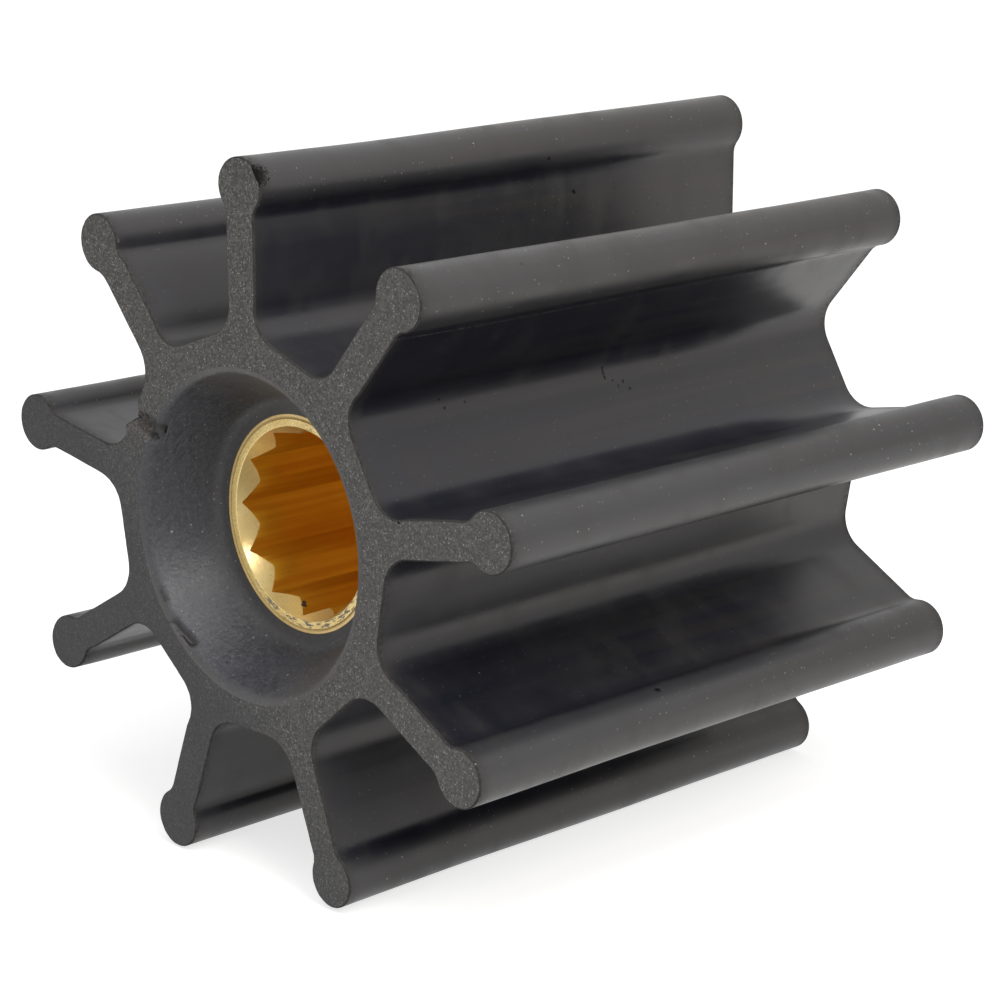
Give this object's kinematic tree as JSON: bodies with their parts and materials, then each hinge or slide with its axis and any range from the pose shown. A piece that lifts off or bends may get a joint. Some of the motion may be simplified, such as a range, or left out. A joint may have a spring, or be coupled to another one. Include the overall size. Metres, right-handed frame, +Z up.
{
  "type": "rubber pump impeller",
  "caption": "Flexible pump impeller: a rubber hub with straight radial vanes ending in round bulbs, bonded to a brass bush with a splined bore, and recessed at both ends.",
  "frame": {"origin": "on the shaft axis, halfway between the two end faces of the rubber body", "axes": "+Y along the shaft axis, away from the end face that the picture shows; +Z up, with one vane pointing straight up"},
  "size_m": [0.094, 0.0878, 0.0926],
  "materials": {
    "rubber": "matt end faces, semi-gloss vane sides",
    "brass": "turned and broached"
  },
  "bodies": {
    "root": {"rubber_body": "rubber", "spline_bush": "brass"}
  },
  "joints": []
}
